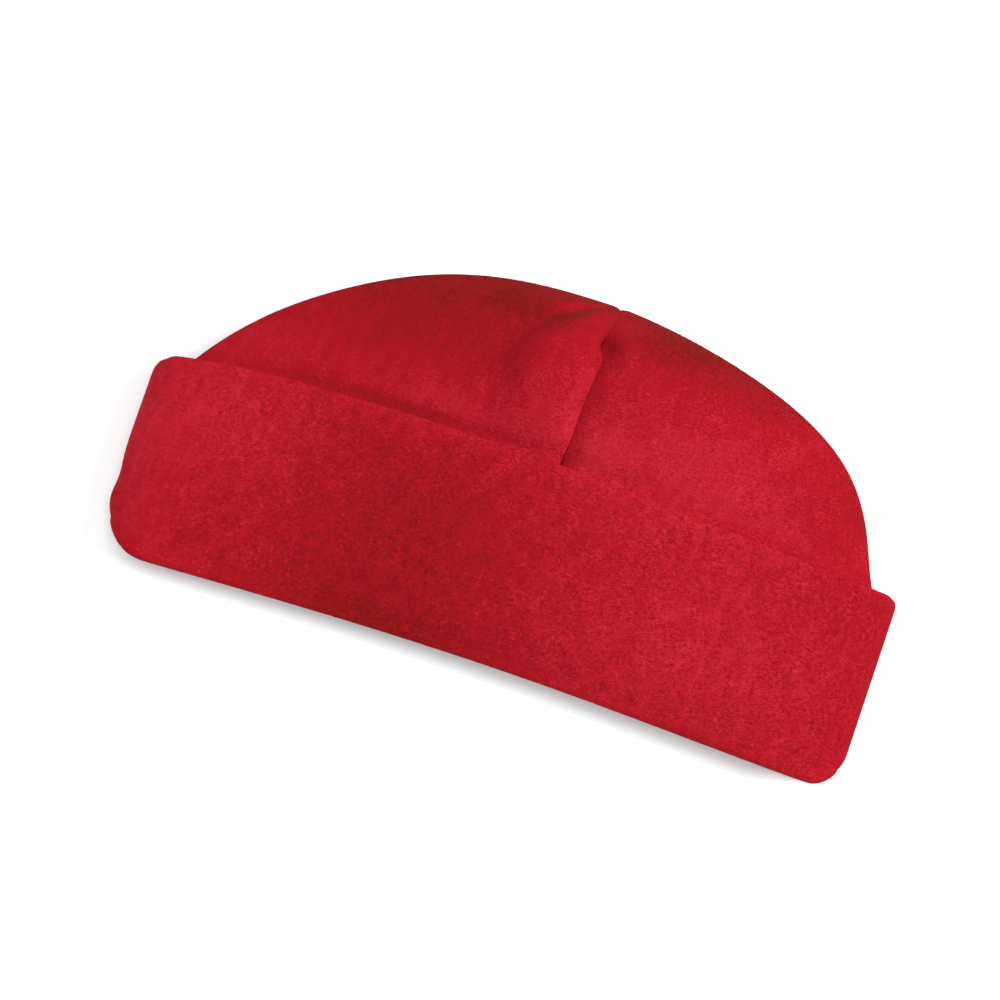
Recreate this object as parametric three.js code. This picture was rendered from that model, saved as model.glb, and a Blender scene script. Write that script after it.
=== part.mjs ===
// Fleece beanie with a deep turned-up cuff, lying on its back.
//
// Millimetres, +Z up. X runs across the hat, +Y from the mouth to the tip of the crown.
// The origin lies under the middle of the hat, on the surface that the hat rests on.
// Every piece is one layer of fleece: a middle surface with half the thickness on each side.

import * as THREE from "three";

// Sizes of the whole hat
const HAT_WIDTH = 290; // across the cuff
const CROWN_SHOWING = 62; // from the cuff's upper edge to the tip, along the middle
const CUFF_DEPTH = 80.4; // from the fold at the mouth to the cuff's upper edge, along the middle
const FOLD_BOW = 2.6; // how far the fold bends in at the middle of the mouth
const BACK_FOLD_INSET = 3; // how much further in the back fold lies at the middle
const CROWN_TUCK = 13; // how far the crown runs down inside the cuff

// The cloth
const FLEECE = 2.5; // thickness of one layer
const SEAM_GAP = 0.3; // between two sewn edges
const NEST_GAP = 0.6; // between the cuff and the crown inside it
const FOLD_RADIUS = 2.5; // of the middle surface, where the band turns up

// Heights above the surface that the hat lies on
const SIDE_FOLD_HEIGHT = 14; // middle of the folds at the two sides
const SIDE_TURN = 16; // how far in from each end the cloth turns over the side fold
const SIDE_RISE = 11; // what the front of the cuff gains in that turn
const MOUTH_HEIGHT = 26; // outside of the front fold, at the middle of the mouth
const CUFF_HEIGHT = 38; // outside of the front cuff, near its upper edge
const CUFF_LIFT = 1.2; // how much the cuff's upper edge stands away further
const EDGE_LIFT = 1.6; // what it stands away on top of that, left of the middle
const EDGE_DIP = 1.4; // how far the crown dips along the cuff's edge
const CROWN_SWELL = 16; // how much higher the crown stands once it is clear of the cuff
const CROWN_SAG = 20; // length over which the crown's back sinks from the cuff to the surface

// The front seam, and the cloth that rolls over it
const SEAM_OFFSET = 10; // from the middle of the hat to the seam's foot
const SEAM_LEAN = 3.4; // how much further to the right the seam ends at the tip
const ROLL_WIDTH = 23; // of the left gore's roll
const ROLL_HEIGHT = 5;

// Shapes of the curves: higher powers are flatter in the middle
const ARCH_POWER = 1.25;
const TIP_TURN = 0.5; // share of the half width that turns over the fold at the crown's tip
const CUFF_RISE_POWER = 4;
const FRONT_TIP_POWER = 3;
const BACK_TIP_POWER = 6;
const FOLD_BOW_POWER = 2.4;
const CORNER_SWEEP = 0.45; // share of a corner's radius by which the edge itself runs back
const EDGE_LIFT_PLACE = -0.45; // share of the cuff's half width
const EDGE_LIFT_WIDTH = 0.4; // share of the cuff's half width
const EDGE_DIP_WIDTH = 0.05; // share of the crown's length
const LEAF_START = 0.6; // share of the crown's length where the folds begin to draw together

// The crown's outline on each side of the seam. reach is a share of the hat's width, rise and
// round are the powers of a rounded outline, and fullness adds to it above the middle.
const CROWN_SIDES = {
  left: { sign: -1, reach: 0.4947, rise: 1.0, round: 2.88, fullness: -0.1 },
  right: { sign: 1, reach: 0.4359, rise: 2.1, round: 1.615, fullness: 0.38 },
};

// The cuff's two ends. foldCorner and topCorner are the radii of its corners seen from above,
// and topDip is how far its upper edge drops towards that end: shares of the cuff's depth.
// slant is how much that end leans in above the fold's corner: a share of the half width.
const CUFF_ENDS = {
  left: { foldCorner: 0.258, topCorner: 0.093, topDip: 0.098, dipPower: 3.5, slant: 0.014 },
  right: { foldCorner: 0.165, topCorner: 0.059, topDip: 0.098, dipPower: 1.2, slant: 0.004 },
};

// Rolls and dents beside the front seam. rise is a share of the roll's height. away is from
// the seam, inner and outer are the half widths towards it and away from it: shares of the
// roll's width. middle and halfLength are shares of the crown's length.
const SEAM_FOLDS = [
  { side: "left", rise: 1.25, away: 0.92, inner: 0.85, outer: 0.34, middle: 0.72, halfLength: 0.36 },
  { side: "left", rise: -0.8, away: 1.65, inner: 0.35, outer: 0.6, middle: 0.8, halfLength: 0.24 },
  { side: "left", rise: -0.45, away: 0, inner: 0.1, outer: 0.2, middle: 0.7, halfLength: 0.35 },
  { side: "right", rise: -0.4, away: 0, inner: 0.18, outer: 0.18, middle: 0.5, halfLength: 0.7 },
  { side: "right", rise: -0.4, away: 0, inner: 0.6, outer: 0.6, middle: 0.5, halfLength: 0.6 },
  { side: "right", rise: -0.6, away: 0.14, inner: 0.2, outer: 0.22, middle: 0.78, halfLength: 0.06 },
  { side: "right", rise: 0.35, away: 0.45, inner: 0.22, outer: 0.2, middle: 0.82, halfLength: 0.13 },
];

// How finely the pieces are divided
const FRONT_GORE_COLUMNS = 20;
const BACK_GORE_COLUMNS = 11;
const GORE_ROWS = 14;
const CUFF_COLUMNS = 32;
const OUTER_LEG_ROWS = 8;
const CUFF_FOLD_ROWS = 6;
const INNER_LEG_ROWS = 4;

// Colours and finish
const FLEECE_RED = "#be2231";
const CUFF_RED = "#b82030";
const FLEECE_ROUGHNESS = 0.95;

// Sizes that follow
const HAT_LENGTH = FOLD_BOW + CUFF_DEPTH + CROWN_SHOWING;
const MOUTH_Y = -HAT_LENGTH / 2;
const CUFF_TOP_Y = MOUTH_Y + FOLD_BOW + CUFF_DEPTH;
const CROWN_BASE_Y = CUFF_TOP_Y - CROWN_TUCK;
const CROWN_LENGTH = CROWN_TUCK + CROWN_SHOWING - FLEECE / 2;
const TUCK_SHARE = CROWN_TUCK / CROWN_LENGTH;
const CUFF_HALF_WIDTH = (HAT_WIDTH - FLEECE) / 2;
const TABLE_LAYER = (FLEECE + SEAM_GAP) / 2;
const SECOND_LAYER = TABLE_LAYER + FLEECE + NEST_GAP;
const CUFF_TOP_RISE = CUFF_HEIGHT - FLEECE / 2 - SIDE_FOLD_HEIGHT;
const CUFF_FOLD_RISE = MOUTH_HEIGHT - FLEECE / 2 - SIDE_FOLD_HEIGHT;
const CROWN_BASE_RISE = CUFF_TOP_RISE - FLEECE - NEST_GAP;
const CROWN_SIDE_RISE = SIDE_RISE - FLEECE - NEST_GAP;
const TURN_SHARE = SIDE_TURN / CUFF_HALF_WIDTH;

// Curves that several pieces share

function mix(from, to, share) {
  return from + (to - from) * share;
}

function clamped(value) {
  return Math.min(1, Math.max(0, value));
}

function smooth(value) {
  const share = clamped(value);
  return share * share * (3 - 2 * share);
}

// A soft hill that is 1 at distance 0.
function hill(distance, halfWidth) {
  const share = distance / halfWidth;
  return Math.exp(-share * share);
}

// The turn over a side fold: 1 where the cloth lies flat and 0 at the side itself.
function sideTurn(share, turnShare) {
  const turned = clamped((Math.abs(share) - 1 + turnShare) / turnShare);
  return Math.sqrt(1 - turned * turned);
}

// The low arch of the upper half, from 1 at the middle to 0 at the side.
function arch(share) {
  return Math.pow(1 - clamped(share * share), ARCH_POWER);
}

// Height of the upper half over the side folds, where its middle rises by rise.
function frontRise(share, rise, sideRise, turnShare) {
  return sideRise * sideTurn(share, turnShare) + (rise - sideRise) * arch(share);
}

// How far a corner of the given radius takes an edge back at this distance from the end.
function cornerInset(radius, fromEnd) {
  const left = radius - Math.min(radius, Math.max(0, fromEnd));
  return radius - Math.sqrt(radius * radius - left * left);
}

// The crown. height runs from 0 at its sewn lower edge to 1 at the tip.

function seamX(height) {
  return SEAM_OFFSET + SEAM_LEAN * smooth((height - 0.4) / 0.6);
}

function crownReach(side, height) {
  const { reach, rise, round, fullness } = CROWN_SIDES[side];
  const outline = Math.pow(1 - Math.pow(height, rise), 1 / round);
  return HAT_WIDTH * reach * (outline + fullness * height * (1 - height) * (2 * height - 1));
}

function crownTurnShare(height) {
  return mix(TURN_SHARE, TIP_TURN, height);
}

// What is left of the hat's thickness as it closes towards the tip.
function tipClosing(height, power) {
  return Math.sqrt(1 - Math.pow(height, power));
}

function crownSwell(height) {
  return CROWN_SWELL * smooth((height - TUCK_SHARE) / (1 - TUCK_SHARE));
}

function crownBackDrop(height) {
  const past = (height - TUCK_SHARE) * CROWN_LENGTH - NEST_GAP;
  const layer = mix(SECOND_LAYER, TABLE_LAYER, smooth(past / CROWN_SAG));
  return (SIDE_FOLD_HEIGHT - layer) * tipClosing(height, BACK_TIP_POWER);
}

// The folds draw together towards the tip, as the two sides of a leaf do.
function leaf(height) {
  const past = clamped((height - LEAF_START) / (1 - LEAF_START));
  return 1.02 - past * past;
}

// How far the folds lift the cloth. What is raised starts above the cuff's edge.
function seamFoldRise(side, away, height) {
  const place = away / (ROLL_WIDTH * leaf(height));
  const clearOfCuff = smooth((height - TUCK_SHARE) / TUCK_SHARE);
  const sewnFade = smooth(height / TUCK_SHARE);
  let rise = 0;
  for (const fold of SEAM_FOLDS) {
    if (fold.side === side) {
      const past = place - fold.away;
      const across = hill(past, past < 0 ? fold.inner : fold.outer);
      const along = hill(height - fold.middle, fold.halfLength);
      const fade = fold.rise > 0 ? clearOfCuff : sewnFade;
      rise += ROLL_HEIGHT * fold.rise * across * along * fade;
    }
  }
  return rise;
}

// A point of the crown's middle surface. across is 0 at the seam and 1 at the side fold.
function crownPoint(side, face, across, height) {
  const reach = crownReach(side, height);
  const x = seamX(height) + CROWN_SIDES[side].sign * reach * across;
  const y = CROWN_BASE_Y + CROWN_LENGTH * height;
  const turnShare = crownTurnShare(height);
  if (face === "back") {
    const drop = crownBackDrop(height) * sideTurn(across, turnShare);
    return new THREE.Vector3(x, y, SIDE_FOLD_HEIGHT - drop);
  }
  const dip = EDGE_DIP * hill(height - TUCK_SHARE * 1.1, EDGE_DIP_WIDTH);
  const fold = (seamFoldRise(side, reach * across, height) - dip) * arch(across);
  const rise = frontRise(across, CROWN_BASE_RISE + crownSwell(height), CROWN_SIDE_RISE, turnShare);
  const z = SIDE_FOLD_HEIGHT + (rise + fold) * tipClosing(height, FRONT_TIP_POWER);
  return new THREE.Vector3(x, y, z);
}

// The cuff. across runs from -1 at the left end to 1 at the right end.

function cuffEnd(across) {
  return across < 0 ? CUFF_ENDS.left : CUFF_ENDS.right;
}

// A rounded corner seen from above: how far the edge runs back and how far it draws in.
function cornerEdge(radius, across) {
  const straight = 1 - radius / CUFF_HALF_WIDTH;
  const past = clamped((Math.abs(across) - straight) / (1 - straight));
  const angle = past * Math.acos(1 - CORNER_SWEEP);
  return {
    back: radius * (1 - Math.cos(angle)),
    drawnIn: radius * (past - Math.sin(angle)),
  };
}

// What is left of a corner's drawing in at this distance from its edge.
function cornerFade(radius, distance) {
  return clamped(cornerInset(radius, distance) / cornerInset(radius, radius * CORNER_SWEEP));
}

// The outer leg, from up = 0 at the fold to 1 at the cuff's upper edge.
function outerLegPoint(face, across, up) {
  const end = cuffEnd(across);
  const foldRadius = end.foldCorner * CUFF_DEPTH;
  const topRadius = end.topCorner * CUFF_DEPTH;
  const foldCorner = cornerEdge(foldRadius, across);
  const topCorner = cornerEdge(topRadius, across);
  const bow = FOLD_BOW + (face === "back" ? BACK_FOLD_INSET : 0);
  const bent = bow * Math.pow(1 - across * across, FOLD_BOW_POWER);
  const dip = end.topDip * CUFF_DEPTH * Math.pow(Math.abs(across), end.dipPower);
  const foldLine = MOUTH_Y + FLEECE / 2 + FOLD_RADIUS + bent;
  const topLine = CUFF_TOP_Y - dip;
  const y = mix(foldLine + foldCorner.back, topLine - topCorner.back, up);
  const drawnIn =
    foldCorner.drawnIn * cornerFade(foldRadius, y - foldLine) +
    topCorner.drawnIn * cornerFade(topRadius, topLine - y);
  const halfWidth = CUFF_HALF_WIDTH * (1 - end.slant * Math.max(0, up - end.foldCorner));
  const x = halfWidth * across - Math.sign(across) * drawnIn;
  if (face === "back") {
    const drop = (SIDE_FOLD_HEIGHT - TABLE_LAYER) * sideTurn(across, TURN_SHARE);
    return new THREE.Vector3(x, y, SIDE_FOLD_HEIGHT - drop);
  }
  const risen = 1 - Math.pow(1 - up, CUFF_RISE_POWER);
  const loose = EDGE_LIFT * hill(across - EDGE_LIFT_PLACE, EDGE_LIFT_WIDTH) * Math.pow(up, 6);
  const lift = CUFF_LIFT * Math.pow(up, 4) + loose;
  const middleRise = mix(CUFF_FOLD_RISE, CUFF_TOP_RISE, risen) + lift;
  const rise = frontRise(across, middleRise, SIDE_RISE, TURN_SHARE);
  return new THREE.Vector3(x, y, SIDE_FOLD_HEIGHT + rise);
}

// The outward normal of the outer leg where the fold begins, and the way down into the fold.
function foldFrame(face, across) {
  const step = 1e-4;
  const inside = Math.min(1 - step, Math.max(step - 1, across));
  const edge = outerLegPoint(face, across, 0);
  const down = edge.clone().sub(outerLegPoint(face, across, step)).normalize();
  const along = outerLegPoint(face, inside + step, 0).sub(outerLegPoint(face, inside - step, 0));
  const outward = new THREE.Vector3().crossVectors(along, down).normalize();
  if (outward.z * (face === "back" ? 1 : -1) > 0) {
    outward.negate();
  }
  if (Math.abs(across) === 1) {
    outward.setZ(0).normalize();
  }
  return { edge, down, outward };
}

function foldPoint(face, across, turn) {
  const { edge, down, outward } = foldFrame(face, across);
  const angle = turn * Math.PI;
  return edge
    .addScaledVector(outward, FOLD_RADIUS * (Math.cos(angle) - 1))
    .addScaledVector(down, FOLD_RADIUS * Math.sin(angle));
}

// The inner leg, from up = 0 at the fold to 1 at the crown's sewn edge.
function innerLegPoint(face, across, up) {
  const start = foldPoint(face, across, 1);
  const side = across < 0 ? "left" : "right";
  const end = crownPoint(side, face, Math.abs(across), 0);
  const risen = 1 - Math.pow(1 - up, CUFF_RISE_POWER);
  return new THREE.Vector3(
    mix(start.x, end.x, risen),
    mix(start.y, end.y - SEAM_GAP, up),
    mix(start.z, end.z, risen),
  );
}

// The whole band: down the outer leg for path 0 to 1, round the fold to 2, up inside to 3.
function cuffPoint(face, across, path) {
  if (path <= 1) {
    return outerLegPoint(face, across, 1 - path);
  }
  if (path <= 2) {
    return foldPoint(face, across, path - 1);
  }
  return innerLegPoint(face, across, path - 2);
}

// Layers of fleece

// The unit normal of point(u, v), from short steps that stay between 0 and the last value.
function surfaceNormal(point, u, v, lastU, lastV) {
  const step = 1e-4;
  const alongU = point(Math.min(lastU, u + step), v).sub(point(Math.max(0, u - step), v));
  const alongV = point(u, Math.min(lastV, v + step)).sub(point(u, Math.max(0, v - step)));
  return new THREE.Vector3().crossVectors(alongU, alongV).normalize();
}

// A closed layer around point(u, v). squareOff flattens a normal into the plane of a cut edge,
// and tip closes the last row in one point, whose normal it gives.
function fleeceLayer({ point, us, vs, squareOff, tip = null, shift = new THREE.Vector3() }) {
  const positions = [];
  const outer = [];
  const inner = [];
  const addPair = (middle, normal) => {
    for (const [list, half] of [[outer, FLEECE / 2], [inner, -FLEECE / 2]]) {
      list.push(positions.length / 3);
      positions.push(...middle.clone().addScaledVector(normal, half).add(shift).toArray());
    }
  };
  const lastU = us.at(-1);
  const lastV = vs.at(-1);
  const rows = tip ? vs.slice(0, -1) : vs;
  for (const v of rows) {
    for (const u of us) {
      const normal = squareOff(surfaceNormal(point, u, v, lastU, lastV), u, v).normalize();
      addPair(point(u, v), normal);
    }
  }
  if (tip) {
    addPair(point(lastU, lastV), tip);
  }

  const width = us.length;
  const at = (list, row, column) => (row < rows.length ? list[row * width + column] : list.at(-1));
  const faces = [];
  const addFace = (a, b, c) => {
    if (a !== b && b !== c && c !== a) {
      faces.push(a, b, c);
    }
  };
  const addQuad = (a, b, c, d) => {
    addFace(a, b, c);
    addFace(a, c, d);
  };
  const lastRow = vs.length - 1;
  for (let row = 0; row < lastRow; row += 1) {
    for (let column = 0; column < width - 1; column += 1) {
      const corners = [[row, column], [row, column + 1], [row + 1, column + 1], [row + 1, column]];
      addQuad(...corners.map(([r, c]) => at(outer, r, c)));
      addQuad(...corners.reverse().map(([r, c]) => at(inner, r, c)));
    }
    addQuad(at(inner, row, 0), at(outer, row, 0), at(outer, row + 1, 0), at(inner, row + 1, 0));
    const end = width - 1;
    addQuad(at(outer, row, end), at(inner, row, end), at(inner, row + 1, end), at(outer, row + 1, end));
  }
  for (let column = 0; column < width - 1; column += 1) {
    const next = column + 1;
    addQuad(at(outer, 0, column), at(inner, 0, column), at(inner, 0, next), at(outer, 0, next));
    if (!tip) {
      addQuad(
        at(inner, lastRow, column),
        at(outer, lastRow, column),
        at(outer, lastRow, next),
        at(inner, lastRow, next),
      );
    }
  }
  const geometry = new THREE.BufferGeometry();
  geometry.setAttribute("position", new THREE.Float32BufferAttribute(positions, 3));
  geometry.setIndex(faces);
  geometry.computeVertexNormals();
  return geometry;
}

function evenSteps(count, last = 1) {
  return Array.from({ length: count + 1 }, (_, index) => (last * index) / count);
}

// Steps from 0 to 1 that are closer at both ends, where the corners are.
function crowdedSteps(count) {
  return evenSteps(count).map((step) => (1 - Math.cos(step * Math.PI)) / 2);
}

// A gore of the crown. u runs so that u cross v points outwards.
function crownGore(side, face) {
  const isFront = face === "front";
  const facesOut = (side === "left") === isFront;
  const columns = isFront ? FRONT_GORE_COLUMNS : BACK_GORE_COLUMNS;
  const crowding = isFront ? 2 : 1;
  const point = (u, v) => {
    const fromSide = facesOut ? u : 1 - u;
    const across = Math.pow(Math.cos((fromSide * Math.PI) / 2), crowding);
    return crownPoint(side, face, across, Math.sin((v * Math.PI) / 2));
  };
  const squareOff = (normal, u, v) => {
    const fromSide = facesOut ? u : 1 - u;
    if (fromSide === 0) {
      normal.z = 0;
    }
    if (fromSide === 1) {
      normal.x = 0;
    }
    if (v === 0) {
      normal.y = 0;
    }
    return normal;
  };
  const half = SEAM_GAP / 2;
  return fleeceLayer({
    point,
    us: evenSteps(columns),
    vs: evenSteps(GORE_ROWS),
    squareOff,
    tip: new THREE.Vector3(0, 1, 0),
    shift: new THREE.Vector3(CROWN_SIDES[side].sign * half, 0, isFront ? half : -half),
  });
}

// Half of the band, from one side seam to the other.
function cuffHalf(face) {
  const isFront = face === "front";
  const point = (u, v) => {
    const across = Math.sin((u - 1) * (Math.PI / 2)) * (isFront ? -1 : 1);
    return cuffPoint(face, across, v);
  };
  const squareOff = (normal, u, v) => {
    if (u === 0 || u === 2) {
      normal.z = 0;
    }
    if (v === 0 || v === 3) {
      normal.y = 0;
    }
    return normal;
  };
  const foldRows = evenSteps(CUFF_FOLD_ROWS).slice(1);
  const innerRows = evenSteps(INNER_LEG_ROWS).slice(1);
  const half = SEAM_GAP / 2;
  return fleeceLayer({
    point,
    us: evenSteps(CUFF_COLUMNS, 2),
    vs: [
      ...crowdedSteps(OUTER_LEG_ROWS),
      ...foldRows.map((v) => v + 1),
      ...innerRows.map((v) => v + 2),
    ],
    squareOff,
    shift: new THREE.Vector3(0, 0, isFront ? half : -half),
  });
}

function fleecePiece(name, geometry, color) {
  const material = new THREE.MeshStandardMaterial({
    color,
    roughness: FLEECE_ROUGHNESS,
    metalness: 0,
  });
  const mesh = new THREE.Mesh(geometry, material);
  mesh.name = name;
  return mesh;
}

const beanie = new THREE.Group();
for (const face of ["front", "back"]) {
  for (const side of ["left", "right"]) {
    beanie.add(fleecePiece(`crown_${face}_${side}`, crownGore(side, face), FLEECE_RED));
  }
  beanie.add(fleecePiece(`cuff_${face}`, cuffHalf(face), CUFF_RED));
}

export default beanie;
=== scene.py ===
# %% [markdown]
# # A red fleece beanie lying on its back
#
# The hat is sewn from a few flat pieces of polar fleece: four gores for the crown and a deep
# band that is folded up outside as a cuff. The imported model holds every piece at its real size,
# as plain faceted solids. This lesson dresses them: each piece is made again with soft edges,
# rolls and dents, and gets the napped finish of fleece.

# %% Load the frame
import math

import bpy
import numpy as np
from mathutils import Matrix, Vector


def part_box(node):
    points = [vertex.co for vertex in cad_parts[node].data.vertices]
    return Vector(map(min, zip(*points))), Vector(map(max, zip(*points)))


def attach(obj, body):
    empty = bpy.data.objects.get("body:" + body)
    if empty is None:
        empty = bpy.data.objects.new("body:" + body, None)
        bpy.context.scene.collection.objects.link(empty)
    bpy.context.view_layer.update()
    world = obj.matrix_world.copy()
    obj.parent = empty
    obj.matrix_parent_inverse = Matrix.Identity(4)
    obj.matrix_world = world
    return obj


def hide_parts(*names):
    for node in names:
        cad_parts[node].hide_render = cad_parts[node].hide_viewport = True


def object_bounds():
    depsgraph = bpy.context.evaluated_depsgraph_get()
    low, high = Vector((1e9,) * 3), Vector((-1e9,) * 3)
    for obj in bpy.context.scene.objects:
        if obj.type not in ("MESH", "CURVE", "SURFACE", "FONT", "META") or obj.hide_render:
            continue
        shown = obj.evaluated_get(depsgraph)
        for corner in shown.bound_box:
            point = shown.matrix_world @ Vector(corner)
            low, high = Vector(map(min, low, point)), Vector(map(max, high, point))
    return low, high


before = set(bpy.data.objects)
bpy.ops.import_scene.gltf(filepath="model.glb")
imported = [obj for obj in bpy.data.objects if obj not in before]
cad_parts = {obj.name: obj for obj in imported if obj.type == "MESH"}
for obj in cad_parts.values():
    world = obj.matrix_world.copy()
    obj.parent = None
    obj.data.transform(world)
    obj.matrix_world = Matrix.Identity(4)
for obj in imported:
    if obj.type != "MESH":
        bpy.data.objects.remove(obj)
cad_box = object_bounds()
print("pieces in the frame:", ", ".join(sorted(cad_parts)))

# %% [markdown]
# ## Sizes
#
# Blender works in metres, and a hat is easier to think of in millimetres, so MM turns one into
# the other. Every size could be typed in again, but then a changed solid would leave its cloth
# behind, so what the frame can tell is read from it. The other sizes and shares repeat those of
# the solids, apart from a few of the cuff's ends and of the folds beside the seam, which follow
# the photo more closely.

# %% Sizes that the frame gives
MM = 0.001
hat_low, hat_high = cad_box
HAT_WIDTH = hat_high.x - hat_low.x
MOUTH_Y = hat_low.y
TIP_Y = hat_high.y
CROWN_BASE_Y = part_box("crown_front_left")[0].y
CUFF_TOP_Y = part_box("cuff_front")[1].y
SIDE_FOLD_HEIGHT = (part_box("cuff_back")[1].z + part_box("cuff_front")[0].z) / 2
print(f"hat {HAT_WIDTH / MM:.1f} mm wide, {(TIP_Y - MOUTH_Y) / MM:.1f} mm from mouth to tip")
print(f"side folds {SIDE_FOLD_HEIGHT / MM:.1f} mm above the floor")

# %% Sizes of the cloth and of the heights
FLEECE = 2.5 * MM
SEAM_GAP = 0.3 * MM  # between two pieces that are sewn together
NEST_GAP = 0.6 * MM  # between the cuff and the crown inside it
FOLD_RADIUS = 2.5 * MM  # of the middle surface, where the band turns up
FOLD_BOW = 2.6 * MM  # how far the fold bends in at the middle of the mouth
BACK_FOLD_INSET = 3 * MM  # how much further in the back fold lies there
SIDE_TURN = 16 * MM  # how far in from each end the cloth turns over the side fold
SIDE_RISE = 11 * MM  # what the front of the cuff gains in that turn
MOUTH_HEIGHT = 26 * MM  # outside of the front fold, at the middle of the mouth
CUFF_HEIGHT = 38 * MM  # outside of the front cuff, near its upper edge
CUFF_LIFT = 1.2 * MM  # how much the cuff's upper edge stands away further
EDGE_LIFT = 1.6 * MM  # what it stands away on top of that, left of the middle
EDGE_DIP = 1.4 * MM  # how far the crown dips along the cuff's edge
CROWN_SWELL = 16 * MM  # how much higher the crown stands once it is clear of the cuff
CROWN_SAG = 20 * MM  # length over which the crown's back sinks to the surface
SEAM_OFFSET = 10 * MM  # from the middle of the hat to the seam's foot
SEAM_LEAN = 3.4 * MM  # how much further to the right the seam ends at the tip
ROLL_WIDTH = 23 * MM
ROLL_HEIGHT = 5 * MM
CUFF_DEPTH = CUFF_TOP_Y - MOUTH_Y - FOLD_BOW
CROWN_TUCK = CUFF_TOP_Y - CROWN_BASE_Y
CROWN_LENGTH = TIP_Y - FLEECE / 2 - CROWN_BASE_Y
TUCK_SHARE = CROWN_TUCK / CROWN_LENGTH
CUFF_HALF_WIDTH = (HAT_WIDTH - FLEECE) / 2
TABLE_LAYER = (FLEECE + SEAM_GAP) / 2
SECOND_LAYER = TABLE_LAYER + FLEECE + NEST_GAP
CUFF_TOP_RISE = CUFF_HEIGHT - FLEECE / 2 - SIDE_FOLD_HEIGHT
CUFF_FOLD_RISE = MOUTH_HEIGHT - FLEECE / 2 - SIDE_FOLD_HEIGHT
CROWN_BASE_RISE = CUFF_TOP_RISE - FLEECE - NEST_GAP
CROWN_SIDE_RISE = SIDE_RISE - FLEECE - NEST_GAP
TURN_SHARE = SIDE_TURN / CUFF_HALF_WIDTH
print(f"cuff {CUFF_DEPTH / MM:.1f} mm deep, crown {CROWN_LENGTH / MM:.1f} mm long")

# %% Powers of the curves, and the outlines of the two sides
ARCH_POWER = 1.25
TIP_TURN = 0.5  # share of the half width that turns over the fold at the crown's tip
CUFF_RISE_POWER = 4
FRONT_TIP_POWER = 3
BACK_TIP_POWER = 6
CORNER_SWEEP = 0.45  # share of a corner's radius that its edge sweeps up before it ends
# reach is a share of the hat's width, rise and round are the powers of a rounded outline, and
# fullness adds to it above the middle.
CROWN_SIDES = {
    "left": {"sign": -1, "reach": 0.4947, "rise": 1.0, "round": 2.88, "fullness": -0.1},
    "right": {"sign": 1, "reach": 0.4359, "rise": 2.1, "round": 1.615, "fullness": 0.38},
}


def table(columns, *rows):
    """A list of rows, each a dict with the columns' names."""
    return [dict(zip(columns, row)) for row in rows]


# The corners and the dip of the upper edge are shares of the cuff's depth, and the slant is a
# share of its half width. bow_power shapes the bend of the fold towards that end.
CUFF_ENDS = table(
    ("end", "fold_corner", "top_corner", "top_dip", "dip_power", "slant", "bow_power"),
    ("left", 0.24, 0.093, 0.098, 3.5, 0.007, 1.7),
    ("right", 0.13, 0.059, 0.098, 1.2, 0.0, 2.4),
)
print(len(CROWN_SIDES), "sides of the crown and", len(CUFF_ENDS), "ends of the cuff")

# %% [markdown]
# ## Camera and light
#
# The hat is photographed from straight above, turned a little in the picture. The hat itself
# could be turned, but then it would leave its own frame, so the camera is rolled about its own
# axis instead. A long lens keeps the higher crown from looking larger than the cuff. One big
# soft light hangs overhead, a little beyond the crown, which drops a thin shadow on the mouth's
# side. A second one shines from the right and models the folds. Together they light the floor
# a little past white, as a product photograph does.

# %% Place the camera
IMAGE_SIZE = 1000
HAT_TURN = math.radians(18.4)
HAT_CENTRE_PIXEL = (525.6, 482.7)
SPAN = 370.2 * MM
OUTLINE_HEIGHT = 14 * MM
SENSOR = 36  # millimetres, as for a full-frame camera
LENS = 150  # millimetres
CLIP_END = 20  # metres


def image_axes():
    """The directions in the hat's frame that point right and up in the picture."""
    right = Vector((math.cos(HAT_TURN), math.sin(HAT_TURN), 0))
    up = Vector((-math.sin(HAT_TURN), math.cos(HAT_TURN), 0))
    return right, up


def place_camera():
    """Aims the camera so that the middle of the hat falls on HAT_CENTRE_PIXEL."""
    right, up = image_axes()
    pixel = SPAN / IMAGE_SIZE
    middle = (hat_low + hat_high) / 2
    across = (IMAGE_SIZE / 2 - HAT_CENTRE_PIXEL[0]) * pixel
    upward = (HAT_CENTRE_PIXEL[1] - IMAGE_SIZE / 2) * pixel
    aim = Vector((middle.x, middle.y, OUTLINE_HEIGHT)) + right * across + up * upward
    data = bpy.data.cameras.new("camera")
    data.sensor_width = SENSOR
    data.lens = LENS
    data.clip_end = CLIP_END
    camera = bpy.data.objects.new("camera", data)
    bpy.context.scene.collection.objects.link(camera)
    distance = SPAN * LENS / SENSOR
    back = Vector((0, 0, 1))
    camera.matrix_world = Matrix.Translation(aim + back * distance) @ Matrix(
        (right, up, back)
    ).transposed().to_4x4()
    bpy.context.scene.camera = camera
    return distance


camera_distance = place_camera()
print(f"camera {camera_distance:.2f} m above the hat")

# %% Light the hat
# right, up and height point to where a light shines from. softness is its width in degrees.
LIGHTS = [
    {"name": "top", "right": 0.0, "up": 0.15, "height": 1.0, "softness": 34, "strength": 2.2},
    {"name": "side", "right": 1.0, "up": 0.1, "height": 1.0, "softness": 26, "strength": 3.2},
]
WORLD_STRENGTH = 0.3


def place_light(row):
    right, up = image_axes()
    data = bpy.data.lights.new(row["name"], "SUN")
    data.angle = math.radians(row["softness"])
    data.energy = row["strength"]
    light = bpy.data.objects.new(row["name"], data)
    light.location = right * row["right"] + up * row["up"] + Vector((0, 0, row["height"]))
    light.rotation_euler = light.location.to_track_quat("Z", "Y").to_euler()
    bpy.context.scene.collection.objects.link(light)


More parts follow.
